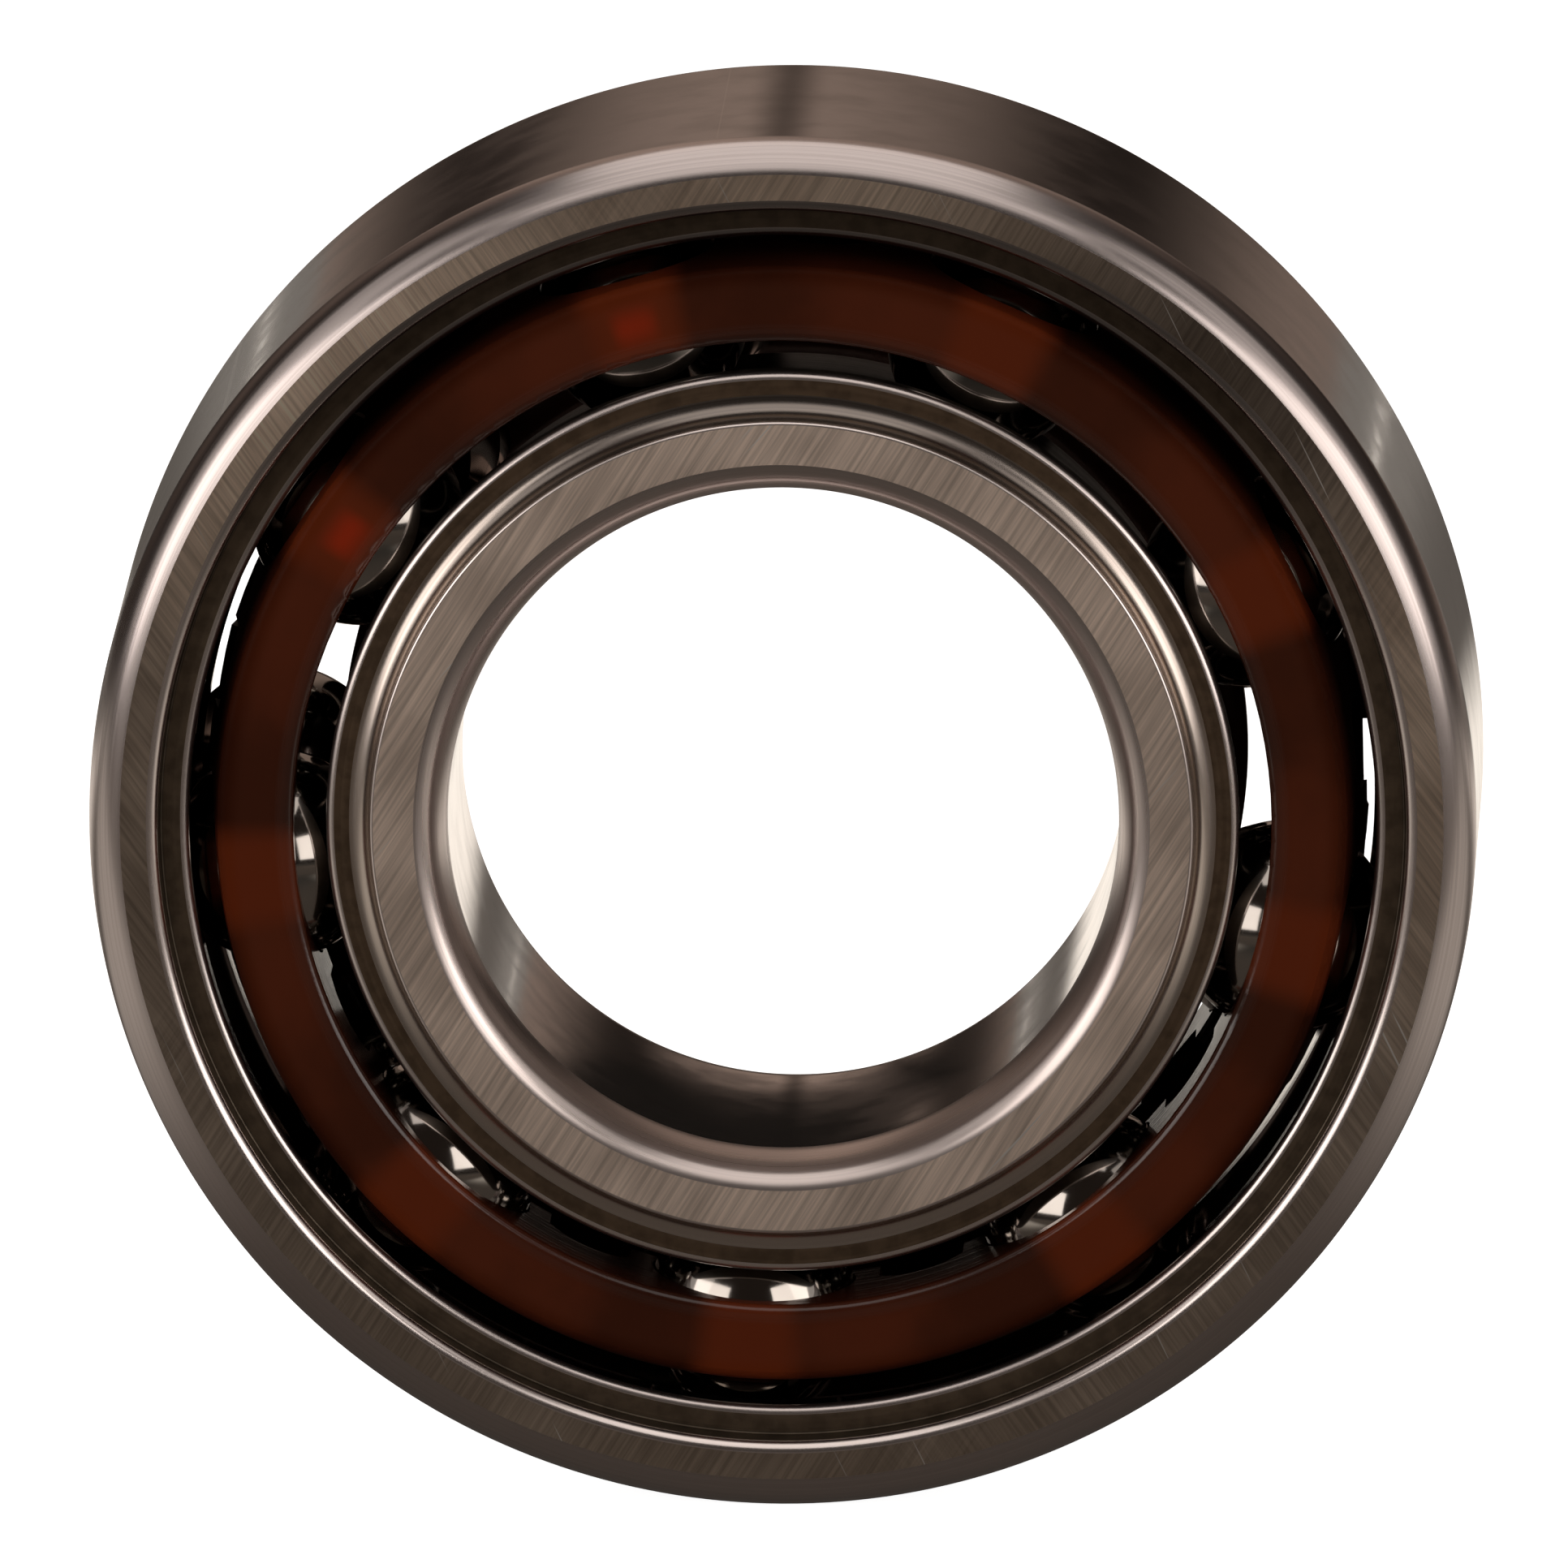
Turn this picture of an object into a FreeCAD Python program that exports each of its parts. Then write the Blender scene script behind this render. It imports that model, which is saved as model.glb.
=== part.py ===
"""Double-row angular contact ball bearing.

The bearing's axis is +Y and its origin is the middle of the bearing: the front face is at -Y and the
rear face at +Y. The contact lines spread towards the axis (back-to-back arrangement), so the outer
ring has a high rib between its two raceways and the inner ring has a high shoulder outside each of
its own. A crown cage snaps over each row of balls from the outside. Lengths are millimetres.
"""
import FreeCAD, Part
import os
import sys
import Sketcher

DIMENSIONS = {
    # Boundary sizes, from ISO dimension series 32.
    "bore_dia": 30.0,
    "outside_dia": 62.0,
    "ring_width": 23.8,
    # Ball rows. A phase is the angle of a row's first ball, from +Z towards +X.
    "ball_dia": 9.525,
    "ball_count": 9,
    "pitch_dia": 46.0,
    "row_spacing": 10.4,
    "contact_angle": 30.0,
    "front_phase": 23.8,
    "rear_phase": 28.8,
    "running_clearance": 0.03,
    # Raceways.
    "outer_groove_radius": 5.0,
    "inner_groove_radius": 4.905,
    "rib_dia": 52.6,
    "waist_dia": 38.4,
    # The outer ring's rounded corner that leads into the housing.
    "housing_corner_radial": 1.45,
    "housing_corner_axial": 1.9,
    # The inner ring's rounded corner that leads on to the shaft: a tight round at the face, from one
    # tilt out of the face's direction to another, and then a longer round into the bore.
    "shaft_corner_radial": 1.45,
    "shaft_corner_round": 1.25,
    "shaft_corner_first_tilt": 12.0,
    "shaft_corner_last_tilt": 60.0,
    # Turned steps: one inside each face of the outer ring, and one outside each face of the inner
    # ring. A lean is how far a wall's foot is from straight below its mouth.
    "outer_step_dia": 55.76,
    "outer_step_depth": 1.63,
    "outer_step_lean": 0.05,
    "outer_step_foot": 0.12,
    "inner_step_dia": 36.8,
    "inner_step_depth": 1.53,
    "inner_step_lean": 0.02,
    "inner_step_foot": 0.95,
    # Shoulders, from the steps' floors to the raceways.
    "outer_shoulder_dia": 53.05,
    "inner_shoulder_dia": 40.8,
    # Rounded edges of the faces and the shoulders.
    "outer_face_edge": 0.5,
    "outer_shoulder_edge": 0.4,
    "inner_face_edge": 0.15,
    "inner_shoulder_edge": 0.35,
    # Crown cages, which widen from their closed side to the tips of their horns.
    "cage_inner_dia": 43.7,
    "cage_outer_dia": 50.5,
    "cage_tip_dia": 52.0,
    "cage_depth": 0.9,
    "cage_length": 7.7,
    "cage_edge": 0.4,
    "pocket_clearance": 0.1,
    "notch_width": 3.9,
    "notch_side_length": 2.2,
    "notch_foot_offset": 1.0,
}
ROUND_TURN = 360

# Expressions on the sheet that several sub-parts share.
FACE = "-dims.ring_width / 2"
ROW_Y = "-dims.row_spacing / 2"
PITCH_RADIUS = "dims.pitch_dia / 2"
BALL_RADIUS = "dims.ball_dia / 2"
BALL_STEP = f"{ROUND_TURN} / dims.ball_count"

doc = FreeCAD.newDocument("angular_contact_bearing")
sheet = doc.addObject("Spreadsheet::Sheet", "dims")
for row, (alias, value) in enumerate(DIMENSIONS.items(), start=1):
    sheet.set(f"A{row}", alias)
    sheet.set(f"B{row}", str(value))
    sheet.setAlias(f"B{row}", alias)
doc.recompute()


def size(expression):
    """The value of an expression on the sheet."""
    return float(sheet.evalExpression(expression))


def new_body(label):
    """An empty body whose label is its node's name."""
    body = doc.addObject("PartDesign::Body", label)
    body.Label = label
    return body


def origin_feature(body, role):
    """A plane or axis of the body's own origin."""
    return next(item for item in body.Origin.OriginFeatures if item.Role == role)


def new_sketch(body, name, role="XY_Plane"):
    """A sketch on an origin plane. On XY_Plane its x is the radius and its y lies on the axis."""
    sketch = body.newObject("Sketcher::SketchObject", name)
    sketch.AttachmentSupport = (origin_feature(body, role), [""])
    sketch.MapMode = "FlatFace"
    return sketch


def bind(sketch, sizings):
    """Add sizing constraints all at once, each (kind, where, expression), and tie them to the sheet."""
    indices = sketch.addConstraint(
        [Sketcher.Constraint(kind, *where, size(expression)) for kind, where, expression in sizings])
    for index, (kind, where, expression) in zip(indices, sizings):
        sketch.setExpression(f"Constraints[{index}]", expression)


def point_sizings(edge, end, place):
    """What holds one end (1 or 2) or the centre (3) of an edge at its distances from the origin."""
    root = (-1, 1)
    return [("DistanceX", (*root, edge, end), place[0]), ("DistanceY", (*root, edge, end), place[1])]


def arc_between(start, end, centre):
    """The shorter arc between two points about a centre, drawn anticlockwise, as the sketcher needs."""
    if (start - centre).cross(end - centre).z < 0:
        start, end = end, start
    outward = ((start + end) / 2 - centre).normalize()
    return Part.Arc(start, centre + outward * (start - centre).Length, end)


def draw_outline(sketch, corners):
    """Draw a closed outline. A corner is (x, y), or (x, y, centre) where an arc leaves it."""
    places = [FreeCAD.Vector(size(corner[0]), size(corner[1]), 0) for corner in corners]
    starts, ends = [], []
    for number, corner in enumerate(corners):
        start, end = places[number], places[(number + 1) % len(corners)]
        if len(corner) == 2:
            edge = sketch.addGeometry(Part.LineSegment(start, end), False)
        else:
            centre = FreeCAD.Vector(size(corner[2][0]), size(corner[2][1]), 0)
            edge = sketch.addGeometry(arc_between(start, end, centre), False)
        # An arc's first end may be either corner.
        forward = sketch.Geometry[edge].StartPoint.distanceToPoint(start) < 1e-6
        starts.append((edge, 1 if forward else 2))
        ends.append((edge, 2 if forward else 1))
    sketch.addConstraint([Sketcher.Constraint("Coincident", *ends[number - 1], *starts[number])
                          for number in range(len(corners))])
    sizings = []
    for number, corner in enumerate(corners):
        sizings += point_sizings(*starts[number], corner[:2])
        if len(corner) > 2:
            # An arc with both ends held needs only one more number, its centre's x.
            sizings.append(point_sizings(starts[number][0], 3, corner[2])[0])
    bind(sketch, sizings)


def revolve(body, kind, name, sketch):
    """Turn a sketch right round the bearing's axis, as a Revolution or a Groove."""
    feature = body.newObject(f"PartDesign::{kind}", name)
    feature.Profile = sketch
    feature.ReferenceAxis = (sketch, ["V_Axis"])
    feature.Angle = ROUND_TURN
    return feature


def step_outline(ring_name, side):
    """The corners from a face's rounded inner edge down the turned step to the middle of the row.

    The metal is outside the step where side is +, and inside it where side is -.
    """
    away = {"+": "-", "-": "+"}[side]
    mouth = f"dims.{ring_name}_step_dia / 2"
    shoulder = f"dims.{ring_name}_shoulder_dia / 2"
    face_edge = f"dims.{ring_name}_face_edge"
    shoulder_edge = f"dims.{ring_name}_shoulder_edge"
    foot_arc = f"dims.{ring_name}_step_foot"
    foot = f"{mouth} {away} dims.{ring_name}_step_lean"
    floor_y = f"{FACE} + dims.{ring_name}_step_depth"
    return [
        (f"{mouth} {side} {face_edge}", FACE, (f"{mouth} {side} {face_edge}", f"{FACE} + {face_edge}")),
        (mouth, f"{FACE} + {face_edge}"),
        (foot, f"{floor_y} - {foot_arc}", (f"{foot} {away} {foot_arc}", f"{floor_y} - {foot_arc}")),
        (f"{foot} {away} {foot_arc}", floor_y),
        (f"{shoulder} {side} {shoulder_edge}", floor_y,
         (f"{shoulder} {side} {shoulder_edge}", f"{floor_y} + {shoulder_edge}")),
        (shoulder, f"{floor_y} + {shoulder_edge}"),
        (shoulder, ROW_Y),
    ]


def ring(label, outline, groove_centre, groove_radius):
    """A ring: its front half's outline turned round the axis, its raceway cut, and both mirrored."""
    body = new_body(label)
    section = new_sketch(body, f"{label}_section")
    draw_outline(section, outline)
    blank = revolve(body, "Revolution", f"{label}_blank", section)
    doc.recompute()
    blank_volume = blank.Shape.Volume

    circle = new_sketch(body, f"{label}_raceway_circle")
    centre = FreeCAD.Vector(size(groove_centre[0]), size(groove_centre[1]), 0)
    upright = FreeCAD.Vector(0, 0, 1)
    edge = circle.addGeometry(Part.Circle(centre, upright, size(groove_radius)), False)
    bind(circle, [*point_sizings(edge, 3, groove_centre), ("Radius", (edge,), groove_radius)])
    raceway = revolve(body, "Groove", f"{label}_raceway", circle)
    doc.recompute()
    if raceway.Shape.Volume >= blank_volume:
        sys.exit(f"{label}: the raceway cuts nothing")

    mirrored = body.newObject("PartDesign::Mirrored", f"{label}_mirrored")
    mirrored.Originals = [blank, raceway]
    mirrored.MirrorPlane = (origin_feature(body, "XZ_Plane"), [""])
    body.Tip = mirrored
    return body


def outer_ring():
    """The ring that sits in the housing. Its raceways' centres lean towards the faces."""
    reach = f"(dims.outer_groove_radius - {BALL_RADIUS} - dims.running_clearance)"
    centre = (f"{PITCH_RADIUS} - {reach} * cos(dims.contact_angle)",
              f"{ROW_Y} - {reach} * sin(dims.contact_angle)")
    outside = "dims.outside_dia / 2"
    radial, axial = "dims.housing_corner_radial", "dims.housing_corner_axial"
    corner_arc = f"({radial} ^ 2 + {axial} ^ 2) / (2 * {radial})"
    corner_y = f"{FACE} + {axial}"
    rib = "dims.rib_dia / 2"
    outline = [
        (outside, "0"),
        (outside, corner_y, (f"{outside} - {corner_arc}", corner_y)),
        (f"{outside} - {radial}", FACE),
        *step_outline("outer", side="+"),
        (rib, ROW_Y),
        (rib, "0"),
    ]
    return ring("outer_ring", outline, centre, "dims.outer_groove_radius")


def inner_ring():
    """The ring that sits on the shaft. Its raceways' centres lean towards the middle."""
    reach = f"(dims.inner_groove_radius - {BALL_RADIUS} - dims.running_clearance)"
    centre = (f"{PITCH_RADIUS} + {reach} * cos(dims.contact_angle)",
              f"{ROW_Y} + {reach} * sin(dims.contact_angle)")
    bore = "dims.bore_dia / 2"
    kink_x = f"{bore} + dims.shaft_corner_radial"
    first, last = "dims.shaft_corner_first_tilt", "dims.shaft_corner_last_tilt"
    round_x = f"({kink_x} + dims.shaft_corner_round * sin({first}))"
    round_y = f"({FACE} + dims.shaft_corner_round * cos({first}))"
    meeting_x = f"({round_x} - dims.shaft_corner_round * sin({last}))"
    meeting_y = f"({round_y} - dims.shaft_corner_round * cos({last}))"
    lead_arc = f"(({meeting_x} - {bore}) / (1 - sin({last})))"
    lead_y = f"{meeting_y} + {lead_arc} * cos({last})"
    waist = "dims.waist_dia / 2"
    outline = [
        (bore, "0"),
        (bore, lead_y, (f"{bore} + {lead_arc}", lead_y)),
        (meeting_x, meeting_y, (round_x, round_y)),
        (kink_x, FACE),
        *step_outline("inner", side="-"),
        (waist, ROW_Y),
        (waist, "0"),
    ]
    return ring("inner_ring", outline, centre, "dims.inner_groove_radius")


def crown_cage(label, phase, flip):
    """A snap-in cage. Its closed side is just inside the face, and each pocket's two horns close
    round the far side of a ball. The first pocket is drawn on +X, and the notch that parts its horn
    from the next one's is half a ball's step further round.
    """
    body = new_body(label)
    inner = "dims.cage_inner_dia / 2"
    outer = "dims.cage_outer_dia / 2"
    tip = "dims.cage_tip_dia / 2"
    back_y = f"{FACE} + dims.cage_depth"
    tip_y = f"{back_y} + dims.cage_length"
    edge = "dims.cage_edge"
    section = new_sketch(body, f"{label}_section")
    draw_outline(section, [
        (inner, tip_y),
        (inner, f"{back_y} + {edge}", (f"{inner} + {edge}", f"{back_y} + {edge}")),
        (f"{inner} + {edge}", back_y),
        (f"{outer} - {edge}", back_y, (f"{outer} - {edge}", f"{back_y} + {edge}")),
        (outer, f"{back_y} + {edge}"),
        (tip, tip_y),
    ])
    hoop = revolve(body, "Revolution", f"{label}_hoop", section)
    doc.recompute()
    hoop_volume = hoop.Shape.Volume

    # The sphere's poles lie on the radius and its seam faces the mouth, so neither is on the wall.
    pocket = body.newObject("PartDesign::SubtractiveSphere", f"{label}_pocket")
    pocket.Placement = FreeCAD.Placement(FreeCAD.Vector(), FreeCAD.Rotation(
        FreeCAD.Vector(1, 1, 1), ROUND_TURN / 3))
    pocket.setExpression("Radius", f"{BALL_RADIUS} + dims.pocket_clearance")
    pocket.setExpression(".Placement.Base.x", PITCH_RADIUS)
    pocket.setExpression(".Placement.Base.y", ROW_Y)
    doc.recompute()
    pocket_volume = hoop_volume - pocket.Shape.Volume

    half_width = "dims.notch_width / 2"
    foot_y = f"{tip_y} - dims.notch_side_length"
    slot = new_sketch(body, f"{label}_slot", "YZ_Plane")
    slot.setExpression(".AttachmentOffset.Rotation.Angle", f"{BALL_STEP} / 2")
    slot.AttachmentOffset = FreeCAD.Placement(FreeCAD.Vector(), FreeCAD.Rotation(
        FreeCAD.Vector(1, 0, 0), size(f"{BALL_STEP} / 2")))
    draw_outline(slot, [
        (tip_y, f"-{half_width}"),
        (tip_y, half_width),
        (foot_y, half_width, (f"{foot_y} + dims.notch_foot_offset", "0")),
        (foot_y, f"-{half_width}"),
    ])
    notch = body.newObject("PartDesign::Pocket", f"{label}_notch")
    notch.Profile = slot
    notch.Reversed = True
    notch.Type = "ThroughAll"
    doc.recompute()
    notch_volume = pocket.Shape.Volume - notch.Shape.Volume

    pattern = body.newObject("PartDesign::PolarPattern", f"{label}_pockets")
    pattern.Originals = [pocket, notch]
    pattern.Axis = (section, ["V_Axis"])
    pattern.Angle = ROUND_TURN
    pattern.setExpression("Occurrences", "dims.ball_count")
    body.Tip = pattern
    doc.recompute()
    cut = hoop_volume - pattern.Shape.Volume
    expected = size("dims.ball_count") * (pocket_volume + notch_volume)
    if pocket_volume <= 0 or notch_volume <= 0 or abs(cut - expected) > 0.01 * expected:
        sys.exit(f"{label}: the pockets cut {cut:.1f}, not {expected:.1f} cubic millimetres")

    # The pocket drawn on +X stands a quarter turn from +Z, where phases are counted from.
    spin = FreeCAD.Rotation(FreeCAD.Vector(0, 1, 0), size(phase) - ROUND_TURN / 4)
    turn_over = FreeCAD.Rotation(FreeCAD.Vector(1, 0, 0), ROUND_TURN / 2 if flip else 0)
    body.Placement = FreeCAD.Placement(FreeCAD.Vector(), spin * turn_over)
    return body


def ball(label, row_y, angle):
    """One ball of a row, at its angle from +Z towards +X."""
    sphere = doc.addObject("Part::Sphere", label)
    sphere.Label = label
    sphere.setExpression("Radius", BALL_RADIUS)
    sphere.setExpression(".Placement.Base.x", f"{PITCH_RADIUS} * sin({angle})")
    sphere.setExpression(".Placement.Base.y", row_y)
    sphere.setExpression(".Placement.Base.z", f"{PITCH_RADIUS} * cos({angle})")
    return sphere


def ball_row(side, row_y, phase):
    """The balls of one row, numbered from the first one round towards +X."""
    count = int(size("dims.ball_count"))
    return [ball(f"{side}_ball_{number + 1}", row_y, f"{phase} + {number} * {BALL_STEP}")
            for number in range(count)]


nodes = [
    outer_ring(),
    inner_ring(),
    crown_cage("front_cage", "dims.front_phase", flip=False),
    crown_cage("rear_cage", "dims.rear_phase", flip=True),
    *ball_row("front", ROW_Y, "dims.front_phase"),
    *ball_row("rear", f"-({ROW_Y})", "dims.rear_phase"),
]
doc.recompute()

failed = [item.Name for item in doc.Objects if {"Invalid", "Error"} & set(item.State)]
failed += [node.Label for node in nodes if node.Shape.isNull() or not node.Shape.isValid()]
failed += [node.Label for node in nodes if len(node.Shape.Solids) != 1]
if failed:
    sys.exit(f"failed objects: {failed}")

os.makedirs("parts", exist_ok=True)
for node in nodes:
    node.Shape.exportStep(f"parts/{node.Label}.step")
    print(f"{node.Label}: {node.Shape.Volume:.1f} cubic millimetres")
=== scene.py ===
"""The looks of a double-row angular contact ball bearing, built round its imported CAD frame.

The frame gives each piece's place and overall size. Lengths are in metres: the bearing's axis is Y,
its front face looks along -Y, and Z is up. Angles round the bearing are counted from +Z towards +X.
"""

import math

import bmesh
import bpy
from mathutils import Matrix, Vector


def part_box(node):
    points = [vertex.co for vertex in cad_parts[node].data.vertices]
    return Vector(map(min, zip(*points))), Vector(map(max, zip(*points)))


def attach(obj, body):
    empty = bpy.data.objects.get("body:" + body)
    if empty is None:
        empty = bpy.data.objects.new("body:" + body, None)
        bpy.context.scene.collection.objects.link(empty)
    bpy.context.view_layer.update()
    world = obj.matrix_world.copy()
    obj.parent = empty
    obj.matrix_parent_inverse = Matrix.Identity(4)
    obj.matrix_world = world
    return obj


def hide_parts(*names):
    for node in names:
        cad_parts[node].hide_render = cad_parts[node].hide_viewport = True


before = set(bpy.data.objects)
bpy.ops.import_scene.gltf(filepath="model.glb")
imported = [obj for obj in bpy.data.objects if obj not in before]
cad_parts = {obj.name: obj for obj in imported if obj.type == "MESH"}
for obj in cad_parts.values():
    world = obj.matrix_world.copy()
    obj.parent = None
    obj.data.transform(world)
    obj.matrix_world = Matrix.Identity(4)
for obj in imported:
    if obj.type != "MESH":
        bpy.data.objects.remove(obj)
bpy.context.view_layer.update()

MM = 0.001
FULL_TURN = 2 * math.pi

# ---------------------------------------------------------------- sizes

# Sizes of the rings' sections are in millimetres. Y runs from the bearing's middle, so the front
# face and the front row of balls are at negative places.
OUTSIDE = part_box("outer_ring")[1][0] / MM
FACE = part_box("outer_ring")[0][1] / MM
BORE = 15.0
PITCH = 23.0
ROW = -5.2
BALL_RADIUS = 4.7625
CONTACT_ANGLE = math.radians(30)
CLEARANCE = 0.03
BALLS_IN_ROW = 9
FIRST_POCKETS = {"front": 23.8, "rear": 28.8}

RING_SEGMENTS = 288
ARC_STEP = math.radians(6)
BALL_CUTS = 27


# ---------------------------------------------------------------- camera


def add_camera():
    """A long lens, ten degrees above the axis and a little to its right."""
    azimuth = math.radians(1.72)
    elevation = math.radians(9.94)
    distance = 2.05
    view_width = 69.97 * MM
    level = math.cos(elevation)
    back = Vector((math.sin(azimuth) * level, -math.cos(azimuth) * level, math.sin(elevation)))
    right = Vector((math.cos(azimuth), math.sin(azimuth), 0))
    up = right.cross(-back)
    target = Vector((0, FACE * MM, 0)) + 0.12 * MM * right + 1.99 * MM * up

    lens = bpy.data.cameras.new("camera")
    lens.sensor_width = 36
    lens.lens = lens.sensor_width * distance / view_width
    lens.clip_start = 0.05
    lens.clip_end = 20
    camera = bpy.data.objects.new("camera", lens)
    camera.location = target + distance * back
    camera.rotation_euler = back.to_track_quat("Z", "Y").to_euler()
    bpy.context.scene.collection.objects.link(camera)
    bpy.context.scene.camera = camera


# ---------------------------------------------------------------- node recipes


class Recipe:
    """A node tree whose nodes are joined as they are made."""

    def __init__(self, tree):
        self.nodes = tree.nodes
        self.links = tree.links

    def add(self, kind, inputs=None, **settings):
        """A new node. An input takes a value, or another node's output, which is linked to it."""
        node = self.nodes.new(kind)
        for name, value in settings.items():
            setattr(node, name, value)
        for name, value in (inputs or {}).items():
            if isinstance(value, bpy.types.NodeSocket):
                self.links.new(value, node.inputs[name])
            else:
                node.inputs[name].default_value = value
        return node

    def math(self, operation, *values):
        inputs = dict(enumerate(values))
        return self.add("ShaderNodeMath", inputs, operation=operation).outputs[0]

    def fade(self, value, start, end, low=0.0, high=1.0):
        """low where value is at start, high where it is at end, with a smooth change between."""
        inputs = {"Value": value, "From Min": start, "From Max": end, "To Min": low, "To Max": high}
        node = self.add("ShaderNodeMapRange", inputs, interpolation_type="SMOOTHSTEP")
        return node.outputs[0]

    def bell(self, value, centre, half_width):
        """1 at the centre, fading to 0 at half_width on both sides of it."""
        away = self.math("ABSOLUTE", self.math("SUBTRACT", value, centre))
        return self.fade(away, 0.0, half_width, 1.0, 0.0)

    def vector(self, x, y, z):
        return self.add("ShaderNodeCombineXYZ", {"X": x, "Y": y, "Z": z}).outputs[0]

    def scaled(self, vector, factor):
        return self.add("ShaderNodeVectorMath", {0: vector, 3: factor}, operation="SCALE").outputs[0]

    def length(self, vector):
        return self.add("ShaderNodeVectorMath", {0: vector}, operation="LENGTH").outputs["Value"]

    def noise(self, vector, scale=1.0, detail=2.0):
        inputs = {"Vector": vector, "Scale": scale, "Detail": detail}
        return self.add("ShaderNodeTexNoise", inputs).outputs[0]

    def blend(self, factor, first, second):
        """The colour first where factor is 0 and second where it is 1."""
        node = self.add("ShaderNodeMix", data_type="RGBA")
        for socket, value in ((node.inputs[0], factor), (node.inputs[6], first), (node.inputs[7], second)):
            if isinstance(value, bpy.types.NodeSocket):
                self.links.new(value, socket)
            else:
                socket.default_value = value
        return node.outputs[2]


class Finish(Recipe):
    """A material on one Principled shader, with the place on the piece in millimetres."""

    def __init__(self, name):
        self.material = bpy.data.materials.new(name)
        self.material.use_nodes = True
        super().__init__(self.material.node_tree)
        self.shader = self.nodes["Principled BSDF"]
        place = self.add("ShaderNodeTexCoord").outputs["Object"]
        self.place = self.scaled(place, 1 / MM)
        self.x, self.y, self.z = self.add("ShaderNodeSeparateXYZ", {0: self.place}).outputs
        self.radius = self.length(self.vector(self.x, 0.0, self.z))

    def set(self, **inputs):
        for name, value in inputs.items():
            socket = self.shader.inputs[name.replace("_", " ").title().replace("Ior", "IOR")]
            if isinstance(value, bpy.types.NodeSocket):
                self.links.new(value, socket)
            else:
                socket.default_value = value

    def turned(self, fineness, drift=0.08, sign=-1):
        """Noise drawn out into lines round the axis, which follow a face, a cylinder or a corner.

        sign is 1 where a round corner's radius grows towards the face, as in a bore, and otherwise -1.
        """
        depth = self.math("ABSOLUTE", self.y)
        run = self.math("MULTIPLY_ADD", depth, float(sign), self.radius)
        lines = self.math("MULTIPLY", run, fineness)
        return self.noise(self.vector(self.math("MULTIPLY", self.x, drift), lines,
                                      self.math("MULTIPLY", self.z, drift)), detail=3.0)

    def straight(self, lean, fineness, drift=0.1, detail=3.0):
        """Noise drawn out into straight lines across the face, lean degrees up from the horizontal."""
        cosine, sine = math.cos(math.radians(lean)), math.sin(math.radians(lean))
        along = self.math("MULTIPLY_ADD", self.x, cosine, self.math("MULTIPLY", self.z, sine))
        across = self.math("MULTIPLY_ADD", self.z, cosine, self.math("MULTIPLY", self.x, -sine))
        return self.noise(self.vector(self.math("MULTIPLY", along, drift),
                                      self.math("MULTIPLY", across, fineness), 0.0), detail=detail)

    def painted_top_shade(self, colour, top):
        """The colour, scaled by top near the top: painted shade that darkens the upper part."""
        return self.scaled(colour, self.fade(self.z, 8.0, 22.0, 1.0, top))

    def bump(self, height, distance):
        """Relief of the given depth in millimetres."""
        inputs = {"Height": height, "Distance": distance * MM, "Strength": 1.0}
        self.set(normal=self.add("ShaderNodeBump", inputs).outputs[0])


# ---------------------------------------------------------------- steel

STEEL = (0.56, 0.50, 0.485, 1)
STEEL_WORN = (0.44, 0.39, 0.37, 1)
BRIGHT_STEEL = (0.85, 0.77, 0.74, 1)
SCRATCH = (0.90, 0.84, 0.80, 1)
FACE_SCRATCH = (0.75, 0.72, 0.69, 1)
BALL_STEEL = (0.48, 0.45, 0.42, 1)
BALL_STEEL_FILMED = (0.38, 0.35, 0.32, 1)


def gained(colour, gain):
    """The colour made gain times as bright."""
    return tuple(gain * part for part in colour[:3]) + (1,)


def ground_cylinder(name, sign, colour=STEEL, worn=STEEL_WORN):
    """Plunge-ground steel: very fine lines round the axis, smudges and a few faint scratches."""
    finish = Finish(name)
    lines = finish.turned(14.0, sign=sign)
    smudges = finish.noise(finish.place, scale=0.35, detail=4.0)
    scratches = finish.fade(finish.straight(64, 3.0, drift=0.25, detail=1.0), 0.73, 0.77)
    clean = finish.blend(finish.fade(smudges, 0.35, 0.75), colour, worn)
    scratched = finish.blend(finish.math("MULTIPLY", scratches, 0.6), clean, SCRATCH)
    round_axis = finish.add("ShaderNodeTangent", direction_type="RADIAL", axis="Y").outputs[0]
    finish.set(base_color=scratched, metallic=1.0, anisotropic=0.6, anisotropic_rotation=0.25,
               tangent=round_axis, roughness=finish.fade(smudges, 0.3, 0.7, 0.05, 0.09))
    finish.bump(lines, 0.00018)
    return finish.material


def rounded_corner(name, sign, roughness, colour=STEEL, worn=STEEL_WORN, top=1.0):
    """The tumbled round that leads from a face to the outside, into the bore or into a step."""
    finish = Finish(name)
    lines = finish.turned(7.0, drift=0.02, sign=sign)
    shade = finish.blend(finish.fade(lines, 0.3, 0.8, 0.0, 0.6), colour, worn)
    # Painted shade: the colour is darker near the top, by the factor top.
    finish.set(base_color=finish.painted_top_shade(shade, top), metallic=1.0,
               roughness=finish.fade(lines, 0.3, 0.7, roughness - 0.02, roughness + 0.03))
    finish.bump(lines, 0.0002)
    return finish.material


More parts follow.
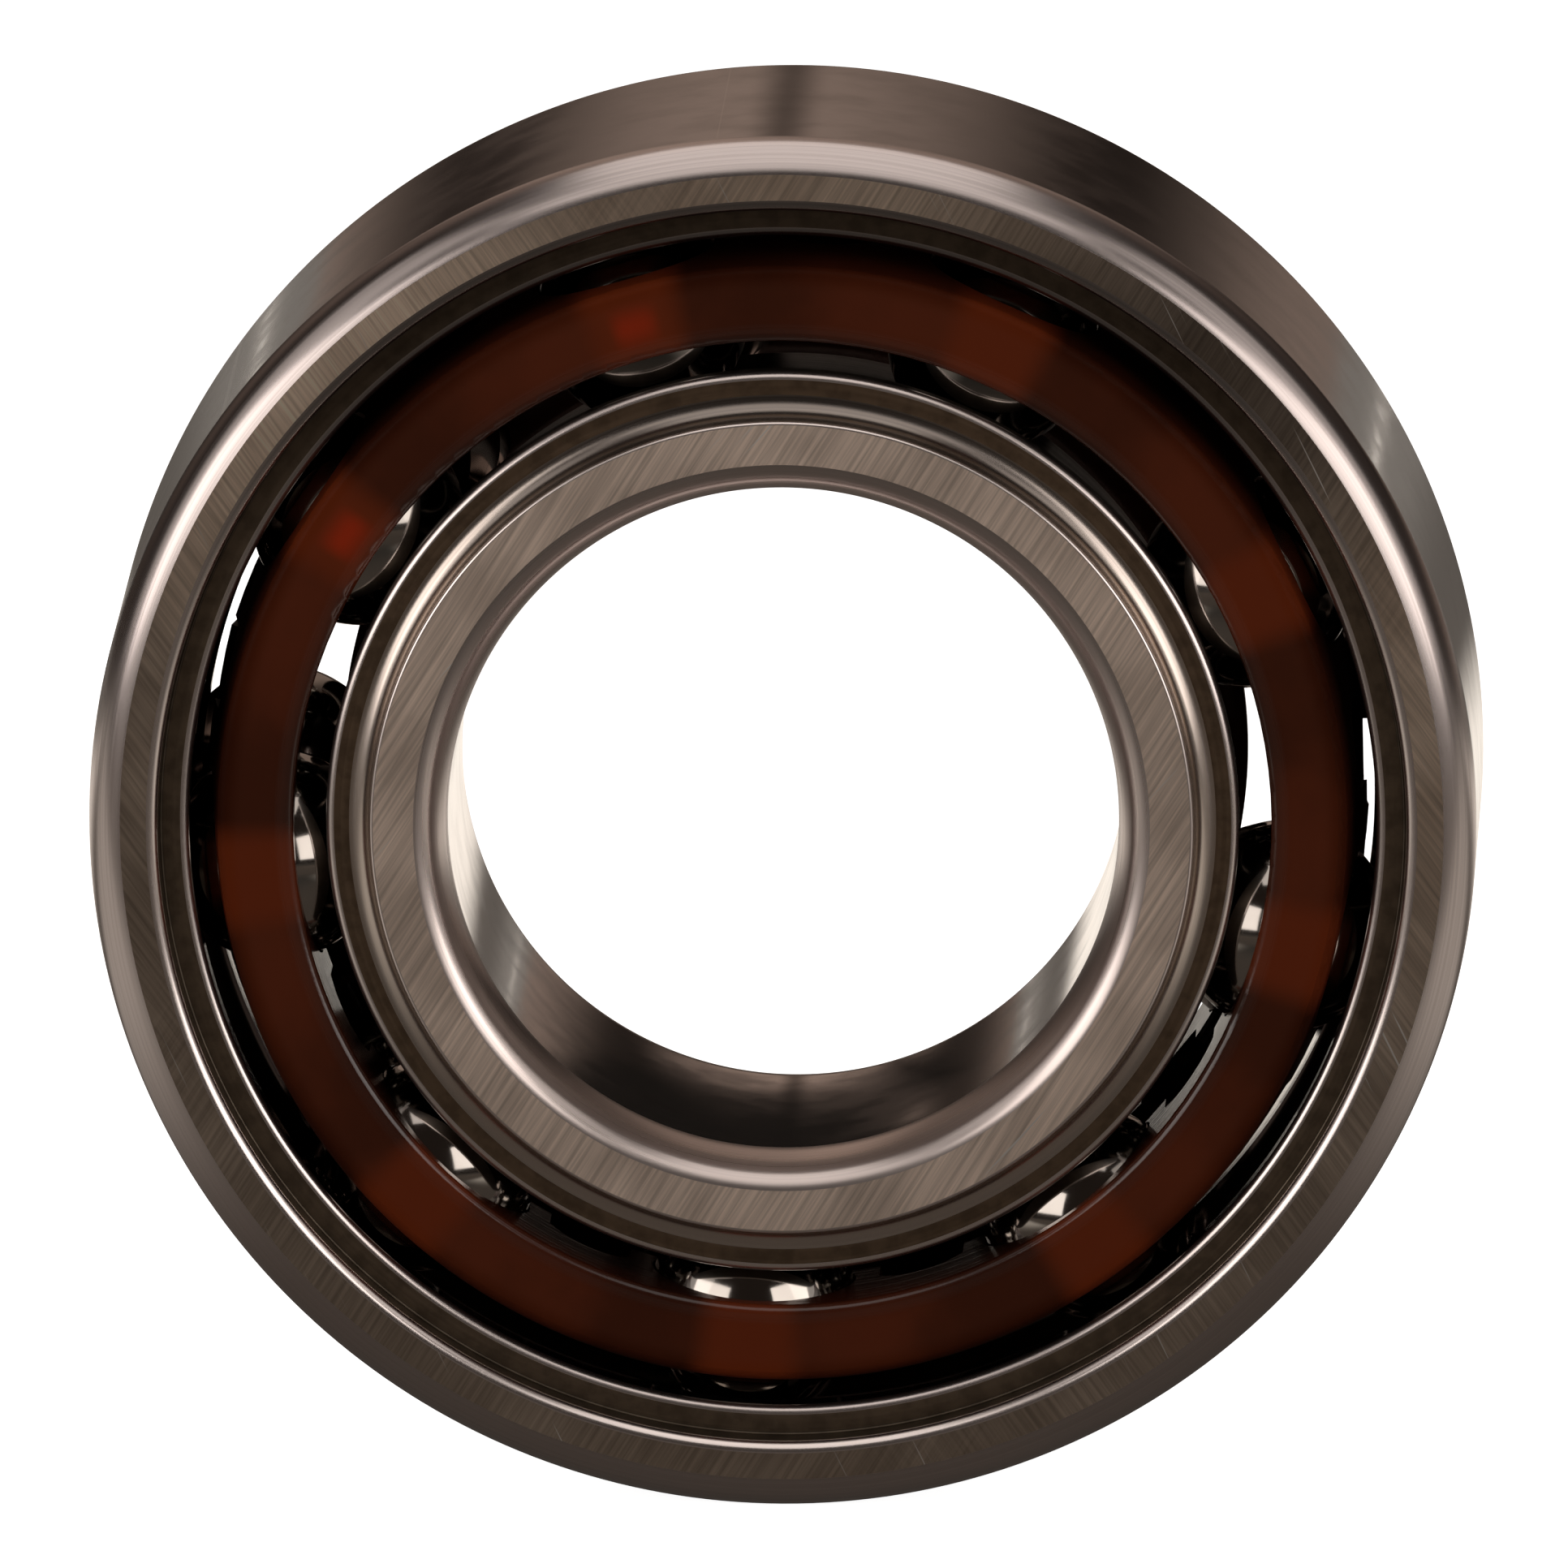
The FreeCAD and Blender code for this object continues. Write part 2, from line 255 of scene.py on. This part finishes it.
def ground_face(name, leans, colour, roughness, depth, painted_patches=()):
    """A surface-ground face: straight grinding lines, some deeper than the rest.

    Two leans make crossed lines, the first clearer at the upper right and lower left and the second
    at the other two. Each painted patch is a soft round patch, (x, z, size, gain), darker or lighter by
    its gain: painted shade where it is darker and painted sheen where it is lighter.
    """
    finish = Finish(name)
    patches = finish.noise(finish.place, scale=0.22, detail=3.0)
    grains = []
    for lean in leans:
        fine = finish.straight(lean, 9.0)
        coarse = finish.straight(lean + 3, 4.2, drift=0.07)
        grains.append(finish.math("MULTIPLY_ADD", coarse, 0.6, finish.math("MULTIPLY", fine, 0.4)))
    angle = finish.math("ARCTAN2", finish.x, finish.z)
    doubled = finish.math("MULTIPLY_ADD", angle, 2.0, math.radians(35))
    crossing = finish.fade(finish.math("SINE", doubled), 0.5, -0.3)
    lines = finish.math("MULTIPLY_ADD", finish.math("SUBTRACT", grains[-1], grains[0]), crossing, grains[0])
    scratches = finish.fade(finish.straight(leans[-1] - 8, 5.0, drift=0.12, detail=1.0), 0.70, 0.78)
    shade = finish.blend(finish.fade(lines, 0.25, 0.75), gained(colour, 0.66), gained(colour, 1.3))
    # Painted patches: painted shade where a patch is darker, painted sheen where it is lighter.
    for x, z, size, gain in painted_patches:
        spot = finish.vector(finish.math("SUBTRACT", finish.x, x), 0.0, finish.math("SUBTRACT", finish.z, z))
        painted_patch_gain = finish.fade(finish.length(spot), size * 0.2, size, gain, 1.0)
        shade = finish.scaled(shade, painted_patch_gain)
    finish.set(base_color=finish.blend(scratches, shade, FACE_SCRATCH), metallic=1.0,
               roughness=finish.fade(patches, 0.3, 0.7, roughness - 0.04, roughness + 0.05))
    finish.bump(finish.math("MULTIPLY_ADD", scratches, 0.5, lines), depth)
    return finish.material


def ringed_steel(name, colour, roughness, top=1.0):
    """Finely ringed steel: dull and dark where it was turned before hardening and left unground."""
    finish = Finish(name)
    lines = finish.turned(5.0, drift=0.04)
    scale = finish.noise(finish.place, scale=1.2, detail=4.0)
    shade = finish.blend(finish.fade(scale, 0.35, 0.7), colour, gained(colour, 0.7))
    # Painted shade: the colour is darker near the top, by the factor top.
    finish.set(base_color=finish.painted_top_shade(shade, top), metallic=1.0,
               roughness=finish.fade(lines, 0.3, 0.7, roughness - 0.04, roughness + 0.04))
    finish.bump(lines, 0.004)
    return finish.material


def raceway(name):
    """Honed nearly to a mirror."""
    finish = Finish(name)
    lines = finish.turned(12.0)
    finish.set(base_color=STEEL, metallic=1.0, roughness=finish.fade(lines, 0.2, 0.8, 0.06, 0.10))
    return finish.material


def ball_steel():
    """Lapped steel with a trace of oil, which varies the gloss, and painted shade that darkens the top
    balls.
    """
    finish = Finish("lapped_ball_steel")
    film = finish.noise(finish.place, scale=0.5, detail=3.0)
    shade = finish.blend(film, BALL_STEEL, BALL_STEEL_FILMED)
    # Painted shade: the top balls are darker.
    finish.set(base_color=finish.painted_top_shade(shade, 0.45), metallic=1.0,
               roughness=finish.fade(film, 0.3, 0.7, 0.07, 0.11))
    return finish.material


# ---------------------------------------------------------------- rings


class Section:
    """A ring's section, drawn from its middle plane round its front, as strips of one material.

    side is 1 where the metal lies to the right of the path, as on the outer ring, and -1 where it
    lies to the left. Each point of a strip is (radius, y, normal's radius part, normal's y part).
    """

    def __init__(self, radius, side):
        self.at = (radius, 0.0)
        self.side = side
        self.strips = []

    def line(self, radius, y, zone):
        run, rise = radius - self.at[0], y - self.at[1]
        length = math.hypot(run, rise)
        normal = (-rise / length * self.side, run / length * self.side)
        self.strips.append((zone, [(*self.at, *normal), (radius, y, *normal)]))
        self.at = (radius, y)

    def arc(self, radius, y, centre, zone):
        """The shorter arc to (radius, y) about the centre."""
        size = math.dist(self.at, centre)
        start = math.atan2(self.at[1] - centre[1], self.at[0] - centre[0])
        end = math.atan2(y - centre[1], radius - centre[0])
        sweep = (end - start + math.pi) % FULL_TURN - math.pi
        outwards = 1 if sweep * self.side < 0 else -1
        steps = max(3, round(abs(sweep) / ARC_STEP))
        points = []
        for step in range(steps + 1):
            angle = start + sweep * step / steps
            away = (math.cos(angle), math.sin(angle))
            points.append((centre[0] + size * away[0], centre[1] + size * away[1],
                           outwards * away[0], outwards * away[1]))
        self.strips.append((zone, points))
        self.at = (radius, y)

    def whole(self):
        """The drawn half's strips, then their mirror images in the middle plane."""
        mirrored = [(zone, [(r, -y, nr, -ny) for r, y, nr, ny in reversed(points)])
                    for zone, points in reversed(self.strips)]
        return self.strips + mirrored


def turn(name, section, materials):
    """The closed section turned round the axis, with the section's own normals."""
    strips = section.whole()
    zones = list(materials)
    corners, edges = [], []
    for zone, points in strips:
        for first, second in zip(points, points[1:]):
            corners.append(first[:2])
            edges.append((zones.index(zone), first[2:], second[2:]))
    count = len(corners)
    rounds = [(math.sin(FULL_TURN * j / RING_SEGMENTS), math.cos(FULL_TURN * j / RING_SEGMENTS))
              for j in range(RING_SEGMENTS)]
    vertices = [(r * sine * MM, y * MM, r * cosine * MM) for sine, cosine in rounds for r, y in corners]
    faces, normals, indices = [], [], []
    for j in range(RING_SEGMENTS):
        k = (j + 1) % RING_SEGMENTS
        for i, (zone, near, far) in enumerate(edges):
            loop = [(j, i, near), (j, (i + 1) % count, far), (k, (i + 1) % count, far), (k, i, near)]
            if section.side < 0:
                loop.reverse()
            faces.append([segment * count + corner for segment, corner, _ in loop])
            normals.extend((n[0] * rounds[segment][0], n[1], n[0] * rounds[segment][1])
                           for segment, _, n in loop)
            indices.append(zone)
    mesh = bpy.data.meshes.new(name)
    mesh.from_pydata(vertices, [], faces)
    for zone in zones:
        mesh.materials.append(materials[zone])
    mesh.polygons.foreach_set("material_index", indices)
    mesh.polygons.foreach_set("use_smooth", [True] * len(faces))
    mesh.normals_split_custom_set(normals)
    piece = bpy.data.objects.new(name, mesh)
    bpy.context.scene.collection.objects.link(piece)
    return piece


def step_profile(section, mouth, depth, lean, foot_round, face_edge, shoulder, shoulder_edge):
    """From the face's rounded edge down the turned step's wall, round its foot and on to its shoulder."""
    side = section.side
    foot = mouth - side * lean
    floor_y = FACE + depth
    section.line(mouth + side * face_edge, FACE, "face")
    section.arc(mouth, FACE + face_edge, (mouth + side * face_edge, FACE + face_edge), "step_edge")
    section.line(foot, floor_y - foot_round, "foot")
    section.arc(foot - side * foot_round, floor_y, (foot - side * foot_round, floor_y - foot_round), "foot")
    section.line(shoulder + side * shoulder_edge, floor_y, "step")
    section.arc(shoulder, floor_y + shoulder_edge,
                (shoulder + side * shoulder_edge, floor_y + shoulder_edge), "step_edge")


def raceway_profile(section, size, shoulder, middle):
    """From the shoulder through the groove to the cylinder between the two rows."""
    side = section.side
    reach = size - BALL_RADIUS - CLEARANCE
    centre = (PITCH - side * reach * math.cos(CONTACT_ANGLE), ROW - side * reach * math.sin(CONTACT_ANGLE))
    entry = centre[1] - math.sqrt(size ** 2 - (shoulder - centre[0]) ** 2)
    leaving = centre[1] + math.sqrt(size ** 2 - (middle - centre[0]) ** 2)
    section.line(shoulder, entry, "shoulder")
    section.arc(middle, leaving, centre, "raceway")
    section.line(middle, 0.0, "shoulder")


def outer_ring():
    """The ring in the housing: rounded outside corners, two stepped mouths, two raceways and a rib.

    The corner is an arc that leaves the outside smoothly and meets the face at an angle.
    """
    radial, axial = 1.45, 1.9
    corner_round = (radial ** 2 + axial ** 2) / (2 * radial)
    section = Section(OUTSIDE, 1)
    section.line(OUTSIDE, FACE + axial, "outside")
    section.arc(OUTSIDE - radial, FACE, (OUTSIDE - corner_round, FACE + axial), "corner")
    step_profile(section, mouth=27.88, depth=1.63, lean=0.05, foot_round=0.12, face_edge=0.5,
                 shoulder=26.525, shoulder_edge=0.4)
    raceway_profile(section, size=5.0, shoulder=26.525, middle=26.3)
    return turn("ground_outer_ring", section, {
        "outside": ground_cylinder("ground_outside", -1),
        "corner": rounded_corner("outer_corner", -1, 0.24),
        # The outer face has painted shade at the upper right and painted sheen at the upper left, the right
        # and the top.
        "face": ground_face("ground_outer_face", (56, 124), (0.42, 0.345, 0.28, 1), 0.36, 0.0040, [
            (20, 20, 13, 0.48), (-20, 20, 17, 2.3), (29, 4, 17, 1.7), (0, 29, 14, 1.6)]),
        # The outer step gets painted shade near the top.
        "step": ringed_steel("turned_outer_step", (0.23, 0.175, 0.125, 1), 0.36, top=0.5),
        # The step's rounded edge gets painted shade near the top.
        "step_edge": rounded_corner("outer_step_edge", -1, 0.25, BRIGHT_STEEL, STEEL, top=0.4),
        "foot": ringed_steel("turned_outer_foot", (0.10, 0.08, 0.06, 1), 0.40),
        "shoulder": ringed_steel("ground_outer_shoulder", (0.55, 0.51, 0.48, 1), 0.12),
        "raceway": raceway("outer_raceway"),
    })


def inner_ring():
    """The ring on the shaft. Its bore corner is a tight round at the face, then a longer one.

    The tight round runs between two leans away from the face, first and last, and the longer one
    goes on from there until it is level with the bore.
    """
    radial, corner_round = 1.45, 1.25
    first, last = math.radians(12), math.radians(60)
    tight = (BORE + radial + corner_round * math.sin(first), FACE + corner_round * math.cos(first))
    meeting = (tight[0] - corner_round * math.sin(last), tight[1] - corner_round * math.cos(last))
    lead = (meeting[0] - BORE) / (1 - math.sin(last))
    lead_y = meeting[1] + lead * math.cos(last)
    section = Section(BORE, -1)
    section.line(BORE, lead_y, "bore")
    section.arc(*meeting, (BORE + lead, lead_y), "corner")
    section.arc(BORE + radial, FACE, tight, "corner")
    step_profile(section, mouth=18.4, depth=1.53, lean=0.02, foot_round=0.95, face_edge=0.15,
                 shoulder=20.4, shoulder_edge=0.35)
    raceway_profile(section, size=4.905, shoulder=20.4, middle=19.2)
    return turn("ground_inner_ring", section, {
        "bore": ground_cylinder("ground_bore", 1, BRIGHT_STEEL, STEEL),
        "corner": rounded_corner("bore_corner", 1, 0.29, (0.70, 0.62, 0.59, 1), STEEL),
        "face": ground_face("ground_inner_face", (56,), (0.80, 0.67, 0.575, 1), 0.48, 0.0035),
        "step": ringed_steel("turned_inner_step", (0.26, 0.185, 0.125, 1), 0.34),
        "step_edge": rounded_corner("inner_step_edge", -1, 0.28, BRIGHT_STEEL, STEEL),
        # The foot gets painted shade near the top.
        "foot": rounded_corner("inner_step_foot", -1, 0.24, (0.66, 0.58, 0.52, 1), STEEL_WORN, top=0.35),
        "shoulder": ringed_steel("turned_inner_shoulder", (0.09, 0.072, 0.058, 1), 0.45),
        "raceway": raceway("inner_raceway"),
    })


# ---------------------------------------------------------------- balls


def ball(node, material):
    """A lapped ball in its node's place: a finely divided cube, its squares evened out on a sphere."""
    low, high = (Vector(corner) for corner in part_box(node))
    centre, size = (low + high) / 2, BALL_RADIUS * MM
    form = bmesh.new()
    bmesh.ops.create_cube(form, size=2)
    bmesh.ops.subdivide_edges(form, edges=form.edges[:], cuts=BALL_CUTS, use_grid_fill=True)
    for vertex in form.verts:
        even = Vector([math.tan(part * math.pi / 4) for part in vertex.co])
        vertex.co = centre + size * even.normalized()
    for face in form.faces:
        face.smooth = True
    mesh = bpy.data.meshes.new(f"lapped_{node}")
    form.to_mesh(mesh)
    form.free()
    mesh.materials.append(material)
    piece = bpy.data.objects.new(f"lapped_{node}", mesh)
    bpy.context.scene.collection.objects.link(piece)
    return piece


# ---------------------------------------------------------------- cages

AMBER_DARK = (0.044, 0.0105, 0.0042, 1)
AMBER = (0.082, 0.0175, 0.0064, 1)
# Painted light: the lit and glowing colours of the amber.
AMBER_PAINTED_LIT = (0.112, 0.0200, 0.0056, 1)
AMBER_PAINTED_GLOW = (0.26, 0.022, 0.005, 1)


def cage_polymer(side):
    """Dark amber polyamide, dull on the closed front and glossier on the inner rim.

    It is painted lighter at the pockets, standing in for light that the balls throw through the thin
    floors of the pockets, with a painted glow at the pockets at the upper left. Painted shade darkens it
    towards both rims and on one side of each pocket.
    """
    inner_rim, middle, outer_rim = 22.35, 23.5, 24.9
    finish = Finish(f"{side}_cage_polymer")
    angle = finish.math("ARCTAN2", finish.x, finish.z)
    turns = finish.math("MULTIPLY", finish.math("SUBTRACT", angle, math.radians(FIRST_POCKETS[side])),
                        float(BALLS_IN_ROW))
    # Painted light: lighter at each pocket, where its floor is thin.
    thin = finish.fade(finish.math("COSINE", turns), 0.50, 0.92)
    # Painted shade on one side of each pocket, mixed below with random streaks.
    painted_pocket_side_shade = finish.math("SINE", turns)
    streaks = finish.noise(finish.place, scale=0.28, detail=3.0)
    shade = finish.math("ADD", finish.math("MULTIPLY", painted_pocket_side_shade, -0.35), streaks)
    body = finish.blend(finish.fade(shade, 0.1, 0.9), AMBER_DARK, AMBER)
    # Painted shade: darker towards both rims.
    away = finish.math("ABSOLUTE", finish.math("SUBTRACT", finish.radius, middle))
    edges = finish.fade(away, 0.5, 2.1, 1.0, 0.45)
    lit = finish.blend(thin, finish.scaled(body, edges), AMBER_PAINTED_LIT)
    # Painted glow at the pockets at the upper left.
    painted_glow_at_upper_left = finish.fade(finish.math("SUBTRACT", finish.z, finish.x), 22.0, 32.0)
    spot = finish.math("MULTIPLY", finish.fade(finish.math("COSINE", turns), 0.88, 1.0),
                       finish.bell(finish.radius, 23.4, 1.3))
    amber = finish.blend(finish.math("MULTIPLY", spot, painted_glow_at_upper_left), lit, AMBER_PAINTED_GLOW)
    rim = finish.fade(finish.radius, inner_rim + 0.4, inner_rim)
    front_gloss = finish.fade(finish.radius, outer_rim - 0.7, outer_rim, 0.12, 0.02)
    gloss = finish.math("MULTIPLY_ADD", rim, 0.5, front_gloss)
    finish.set(base_color=amber, roughness=finish.fade(rim, 0.0, 1.0, 0.36, 0.20), specular_ior_level=gloss)
    ridges = finish.math("MULTIPLY", finish.turned(2.6, drift=0.01), rim)
    pores = finish.noise(finish.place, scale=3.0, detail=4.0)
    finish.bump(finish.math("MULTIPLY_ADD", ridges, 4.0, pores), 0.006)
    return finish.material


# ---------------------------------------------------------------- studio

WARM_WHITE = (1.0, 0.93, 0.88)


def softbox(name, place, aim, width, height, strength):
    """A plain rectangular light that no camera sees."""
    lamp = bpy.data.lights.new(name, "AREA")
    lamp.shape = "RECTANGLE"
    lamp.size, lamp.size_y = width, height
    lamp.energy = strength * width * height
    lamp.color = WARM_WHITE
    holder = bpy.data.objects.new(name, lamp)
    holder.location = place
    holder.rotation_euler = (Vector(place) - Vector(aim)).to_track_quat("Z", "Y").to_euler()
    holder.visible_camera = False
    bpy.context.scene.collection.objects.link(holder)
    return holder


def add_lights():
    """A key and a dimmer, wider wing on each side, and two overhead. The front one is returned."""
    for name, side in (("left", -1), ("right", 1)):
        softbox(f"{name}_key", (0.352 * side, -0.328, 0.138), (0, 0, 0), 0.384, 0.222, 6.4)
        softbox(f"{name}_wing", (0.40 * side, -0.162, 0.25), (0, 0, 0), 0.325, 0.445, 1.6)
    softbox("overhead", (0, 0.01, 0.45), (0, 0.01, 0), 0.36, 0.63, 3.2)
    return softbox("front_overhead", (0, -0.465, 0.45), (0, -0.465, 0), 0.52, 0.32, 2.8)


def shield(pieces, lamp):
    """Keeps the lamp's light, and its reflection, off the pieces."""
    shielded = bpy.data.collections.new(f"shielded_from_{lamp.name}")
    for piece in pieces:
        shielded.objects.link(piece)
    for member in shielded.collection_objects:
        member.light_linking.link_state = "EXCLUDE"
    lamp.light_linking.receiver_collection = shielded


def add_surroundings():
    """White to the camera. In reflections it is a dim warm room, with a lighter wall behind.

    The wall has a bright band above the horizon, a paler ceiling and foot, and a thin dark seam.
    """
    world = bpy.data.worlds.new("studio")
    bpy.context.scene.world = world
    world.use_nodes = True
    recipe = Recipe(world.node_tree)
    recipe.nodes.clear()
    direction = recipe.add("ShaderNodeTexCoord").outputs["Generated"]
    x, y, z = recipe.add("ShaderNodeSeparateXYZ", {0: direction}).outputs
    tilted = recipe.math("MULTIPLY_ADD", x, -0.17, z)
    dim = 0.022
    sides = recipe.fade(recipe.math("ABSOLUTE", x), 0.18, 0.36, 1.0, 0.15)
    upper = recipe.math("MULTIPLY", recipe.fade(tilted, 0.10, 0.18, dim, 0.27), sides)
    ceiling = recipe.fade(tilted, 0.18, 0.64, 0.0, 0.1)
    horizon = recipe.fade(tilted, 0.085, -0.03, 0.0, 0.2)
    wall = recipe.math("ADD", recipe.math("ADD", upper, ceiling), horizon)
    seam = recipe.math("SUBTRACT", 1.0, recipe.math("MULTIPLY", recipe.bell(x, -0.03, 0.02), 0.6))
    sideways = recipe.fade(x, -0.1, 0.1, 1.15, 0.85)
    behind = recipe.math("MULTIPLY", recipe.math("MULTIPLY", wall, seam), sideways)
    level = recipe.math("ADD", recipe.math("MULTIPLY", behind, recipe.fade(y, 0.3, 0.8)),
                        recipe.fade(y, 0.8, 0.3, 0.0, dim))
    room = recipe.add("ShaderNodeBackground", {"Color": (1.0, 0.74, 0.60, 1), "Strength": level})
    white = recipe.add("ShaderNodeBackground", {"Color": (1, 1, 1, 1), "Strength": 1.1})
    seen = recipe.add("ShaderNodeLightPath").outputs["Is Camera Ray"]
    mixed = recipe.add("ShaderNodeMixShader", {0: seen, 1: room.outputs[0], 2: white.outputs[0]})
    recipe.add("ShaderNodeOutputWorld", {"Surface": mixed.outputs[0]})


def add_floor():
    """A pale floor that the bearing stands on.

    In reflections it is darker, with painted shade in front of the bearing, and it glows with painted
    light: a bright strip behind the bearing, a fainter one far back with a bright edge, and a glow on each
    side of the bearing.
    """
    half = 2.0
    mesh = bpy.data.meshes.new("floor")
    corners = [(-half, -half), (half, -half), (half, half), (-half, half)]
    mesh.from_pydata([(x, y, -OUTSIDE * MM) for x, y in corners], [], [(0, 1, 2, 3)])
    floor = bpy.data.objects.new("floor", mesh)
    bpy.context.scene.collection.objects.link(floor)

    finish = Finish("pale_floor")
    finish.nodes.remove(finish.shader)
    # Painted light seen only in reflections: strips and glows that the floor emits.
    rising = finish.fade(finish.y, 60.0, 165.0, 0.05, 1.0)
    falling = finish.fade(finish.y, 190.0, 260.0, 1.0, 0.09)
    far = finish.fade(finish.y, 300.0, 550.0, 0.0, 0.10)
    edge = finish.math("MULTIPLY", finish.bell(finish.y, 770.0, 26.0), 1.6)
    back = finish.math("ADD", finish.math("MULTIPLY", rising, falling), finish.math("ADD", far, edge))
    aside = finish.fade(finish.math("ABSOLUTE", finish.x), 30.0, 85.0, 0.0, 0.43)
    near = finish.math("MULTIPLY", finish.fade(finish.y, -110.0, -60.0), finish.fade(finish.y, 60.0, 20.0))
    glow = finish.math("ADD", back, finish.math("MULTIPLY", aside, near))
    paper = finish.add("ShaderNodeBsdfDiffuse", {"Color": (0.86, 0.86, 0.86, 1)})
    lit = finish.add("ShaderNodeEmission", {"Color": (1, 1, 1, 1), "Strength": 0.95})
    shown = finish.add("ShaderNodeAddShader", {0: paper.outputs[0], 1: lit.outputs[0]})
    # Painted shade seen only in reflections: darker in front of the bearing.
    shaded = finish.math("MULTIPLY", finish.bell(finish.y, -85.0, 55.0),
                         finish.fade(finish.math("ABSOLUTE", finish.x), 80.0, 40.0))
    tone = finish.blend(shaded, (0.075, 0.058, 0.047, 1), (0.020, 0.016, 0.013, 1))
    dull = finish.add("ShaderNodeBsdfDiffuse", {"Color": tone})
    bright = finish.add("ShaderNodeEmission", {"Color": (1.0, 0.92, 0.82, 1), "Strength": glow})
    mirrored = finish.add("ShaderNodeAddShader", {0: dull.outputs[0], 1: bright.outputs[0]})
    seen = finish.add("ShaderNodeLightPath").outputs["Is Camera Ray"]
    mixed = finish.add("ShaderNodeMixShader", {0: seen, 1: mirrored.outputs[0], 2: shown.outputs[0]})
    output = finish.nodes["Material Output"]
    finish.links.new(mixed.outputs[0], output.inputs["Surface"])
    mesh.materials.append(finish.material)


def add_flag():
    """A black card behind the bore, out of the camera's sight, that darkens the front of the bore.

    The outline is (x, z) in millimetres. Its lower edge has a sloping step.
    """
    outline = [(-6, -8.4), (-1.4, -8.4), (0.6, -10.3), (4, -10.3), (4, 5), (-6, 5)]
    behind = 40
    mesh = bpy.data.meshes.new("flag")
    mesh.from_pydata([(x * MM, behind * MM, z * MM) for x, z in outline], [], [tuple(range(len(outline)))])
    flag = bpy.data.objects.new("flag", mesh)
    bpy.context.scene.collection.objects.link(flag)
    flag.visible_camera = False
    flag.visible_shadow = False
    finish = Finish("black_card")
    finish.set(base_color=(0.012, 0.010, 0.008, 1), roughness=0.9)
    mesh.materials.append(finish.material)


# ---------------------------------------------------------------- assembly


def stand_for(piece, node):
    """The piece rides on its node's body, and the node isn't shown."""
    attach(piece, node)
    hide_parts(node)


add_camera()
front_overhead = add_lights()
add_surroundings()
add_floor()
add_flag()
bpy.context.scene.view_settings.view_transform = "Standard"

stand_for(outer_ring(), "outer_ring")
stand_for(inner_ring(), "inner_ring")

ball_material = ball_steel()
balls = []
for row in FIRST_POCKETS:
    for number in range(1, BALLS_IN_ROW + 1):
        node = f"{row}_ball_{number}"
        balls.append(ball(node, ball_material))
        stand_for(balls[-1], node)
shield(balls, front_overhead)

for side in FIRST_POCKETS:
    polymer = cage_polymer(side)
    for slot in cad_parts[f"{side}_cage"].material_slots:
        slot.material = polymer
